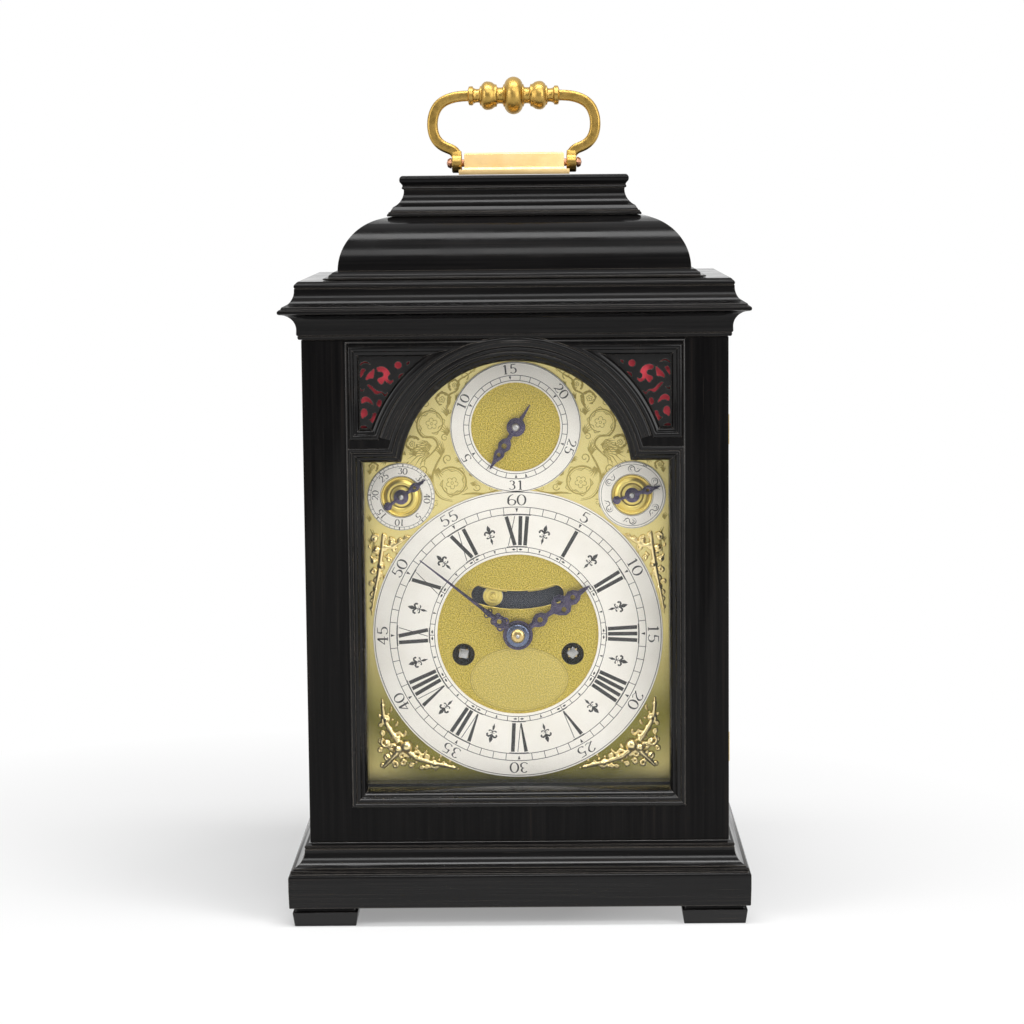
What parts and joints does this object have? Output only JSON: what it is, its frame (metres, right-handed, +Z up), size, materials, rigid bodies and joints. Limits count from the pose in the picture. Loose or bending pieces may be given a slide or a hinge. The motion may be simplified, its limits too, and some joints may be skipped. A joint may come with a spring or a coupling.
{
  "type": "bracket clock",
  "caption": "Table clock in an ebonised case with an arched brass dial, pierced frets, a glazed front door and back door, a swinging top handle and a wound movement with a pendulum.",
  "frame": {"origin": "on the floor under the middle of the case, between the four feet", "axes": "+X to the right as the dial is seen, +Y to the back, +Z up; the dial faces -Y"},
  "size_m": [0.2644, 0.1844, 0.4828],
  "materials": {
    "ebonised_wood": "french polished black, worn brown on the edges",
    "plain_wood": "unfinished",
    "window_glass": "clear",
    "crimson_silk": "plain woven",
    "brass": "lacquered",
    "matted_brass": "matted",
    "gilt_brass": "gilt",
    "copper_pins": "copper coloured, domed",
    "silvered_brass": "silvered",
    "blued_steel": "blued",
    "steel": "plain",
    "dark_backing": "matt",
    "bell_metal": "turned"
  },
  "bodies": {
    "case": {"base_moulding": "ebonised_wood", "foot_front_left": "ebonised_wood", "foot_front_right": "ebonised_wood", "foot_rear_left": "ebonised_wood", "foot_rear_right": "ebonised_wood", "side_panel_left": "ebonised_wood", "side_panel_right": "ebonised_wood", "cornice": "ebonised_wood", "bell_top": "ebonised_wood", "caddy_cap": "ebonised_wood", "dial_mask": "ebonised_wood", "base_board": "plain_wood", "seat_board": "plain_wood", "side_glass_left": "window_glass", "side_glass_right": "window_glass", "front_plate": "brass", "back_plate": "brass", "dial_plate": "matted_brass", "handle_plate": "gilt_brass", "spandrel_lower_left": "gilt_brass", "spandrel_lower_right": "gilt_brass", "spandrel_upper_left": "gilt_brass", "spandrel_upper_right": "gilt_brass", "handle_pin_left": "copper_pins", "handle_pin_right": "copper_pins", "chapter_ring": "silvered_brass", "date_ring": "silvered_brass", "regulation_ring": "silvered_brass", "strike_ring": "silvered_brass", "bell_stand": "steel", "aperture_backing": "dark_backing", "bell": "bell_metal"},
    "front_door": {"front_door_frame": "ebonised_wood", "front_door_glass": "window_glass", "fret_left": "ebonised_wood", "fret_right": "ebonised_wood", "silk_left": "crimson_silk", "silk_right": "crimson_silk", "front_hinge_upper": "brass", "front_hinge_lower": "brass"},
    "back_door": {"back_door_frame": "ebonised_wood", "back_door_glass": "window_glass", "back_hinge_upper": "brass", "back_hinge_lower": "brass"},
    "handle": {"handle_bail": "gilt_brass"},
    "minute_train": {"minute_hand": "blued_steel", "centre_wheel": "brass"},
    "hour_train": {"hour_hand": "blued_steel"},
    "date_train": {"date_hand": "blued_steel"},
    "going_fusee_arbor": {"going_fusee": "brass"},
    "going_barrel_arbor": {"going_barrel": "brass"},
    "strike_fusee_arbor": {"strike_fusee": "brass"},
    "strike_barrel_arbor": {"strike_barrel": "brass"},
    "crown_wheel_arbor": {"crown_wheel": "brass"},
    "regulation": {"regulation_hand": "blued_steel"},
    "suspension": {"suspension_block": "brass"},
    "strike_selector": {"strike_hand": "blued_steel"},
    "pendulum_rod": {"pendulum": "brass"},
    "verge": {"mock_pendulum": "steel"},
    "hammer": {"bell_hammer": "steel"}
  },
  "joints": [
    {"name": "front_door_hinge", "type": "hinge", "parent": "case", "child": "front_door", "pos_m": [0.1204, -0.0598, 0.19], "axis": [0, 0, 1], "range_deg": [0, 110]},
    {"name": "back_door_hinge", "type": "hinge", "parent": "case", "child": "back_door", "pos_m": [-0.1078, 0.081, 0.19], "axis": [0, 0, 1], "range_deg": [0, 105]},
    {"name": "handle_swing", "type": "hinge", "parent": "case", "child": "handle", "pos_m": [0, 0, 0.433], "axis": [1, 0, 0], "range_deg": [-90, 90]},
    {"name": "minute_turn", "type": "hinge", "parent": "case", "child": "minute_train", "pos_m": [0, 0, 0.162], "axis": [0, 1, 0], "continuous": true},
    {"name": "hour_turn", "type": "hinge", "parent": "case", "child": "hour_train", "pos_m": [0, 0, 0.162], "axis": [0, 1, 0], "continuous": true},
    {"name": "date_turn", "type": "hinge", "parent": "case", "child": "date_train", "pos_m": [0, 0, 0.2823], "axis": [0, 1, 0], "continuous": true},
    {"name": "going_fusee_turn", "type": "hinge", "parent": "case", "child": "going_fusee_arbor", "pos_m": [0.0316, 0, 0.1502], "axis": [0, 1, 0], "continuous": true},
    {"name": "going_barrel_turn", "type": "hinge", "parent": "case", "child": "going_barrel_arbor", "pos_m": [0.034, 0, 0.103], "axis": [0, 1, 0], "continuous": true},
    {"name": "strike_fusee_turn", "type": "hinge", "parent": "case", "child": "strike_fusee_arbor", "pos_m": [-0.0316, 0, 0.1502], "axis": [0, 1, 0], "continuous": true},
    {"name": "strike_barrel_turn", "type": "hinge", "parent": "case", "child": "strike_barrel_arbor", "pos_m": [-0.034, 0, 0.103], "axis": [0, 1, 0], "continuous": true},
    {"name": "crown_wheel_turn", "type": "hinge", "parent": "case", "child": "crown_wheel_arbor", "pos_m": [0, -0.005, 0.22], "axis": [0, 0, 1], "continuous": true},
    {"name": "regulation_turn", "type": "hinge", "parent": "case", "child": "regulation", "pos_m": [-0.0664, 0, 0.2426], "axis": [0, 1, 0], "range_deg": [-150, 150]},
    {"name": "suspension_rise", "type": "slide", "parent": "case", "child": "suspension", "axis": [0, 0, 1], "range_m": [-0.0025, 0.0025]},
    {"name": "strike_selector_turn", "type": "hinge", "parent": "case", "child": "strike_selector", "pos_m": [0.0664, 0, 0.2426], "axis": [0, 1, 0], "range_deg": [-60, 0]},
    {"name": "pendulum_swing", "type": "hinge", "parent": "suspension", "child": "pendulum_rod", "pos_m": [0, 0.042, 0.2401], "axis": [0, 1, 0], "range_deg": [-35.3, 6.7]},
    {"name": "verge_swing", "type": "hinge", "parent": "case", "child": "verge", "pos_m": [0, 0, 0.2401], "axis": [0, 1, 0], "range_deg": [-35.4, 6.8]},
    {"name": "hammer_swing", "type": "hinge", "parent": "case", "child": "hammer", "pos_m": [0.044, 0, 0.238], "axis": [0, 1, 0], "range_deg": [0, 15], "stiffness_Nm_per_rad": 0.2, "springref_deg": -5.73}
  ],
  "couplings": [
    {"joint": "hour_turn", "follows": "minute_turn", "ratio": 0.083333},
    {"joint": "date_turn", "follows": "minute_turn", "ratio": 0.0013441},
    {"joint": "going_fusee_turn", "follows": "minute_turn", "ratio": -0.083333},
    {"joint": "going_barrel_turn", "follows": "minute_turn", "ratio": -0.0375},
    {"joint": "strike_barrel_turn", "follows": "strike_fusee_turn", "ratio": 0.45},
    {"joint": "regulation_turn", "follows": "suspension_rise", "rad_per_m": 1047},
    {"joint": "verge_swing", "follows": "pendulum_swing", "ratio": 1}
  ]
}
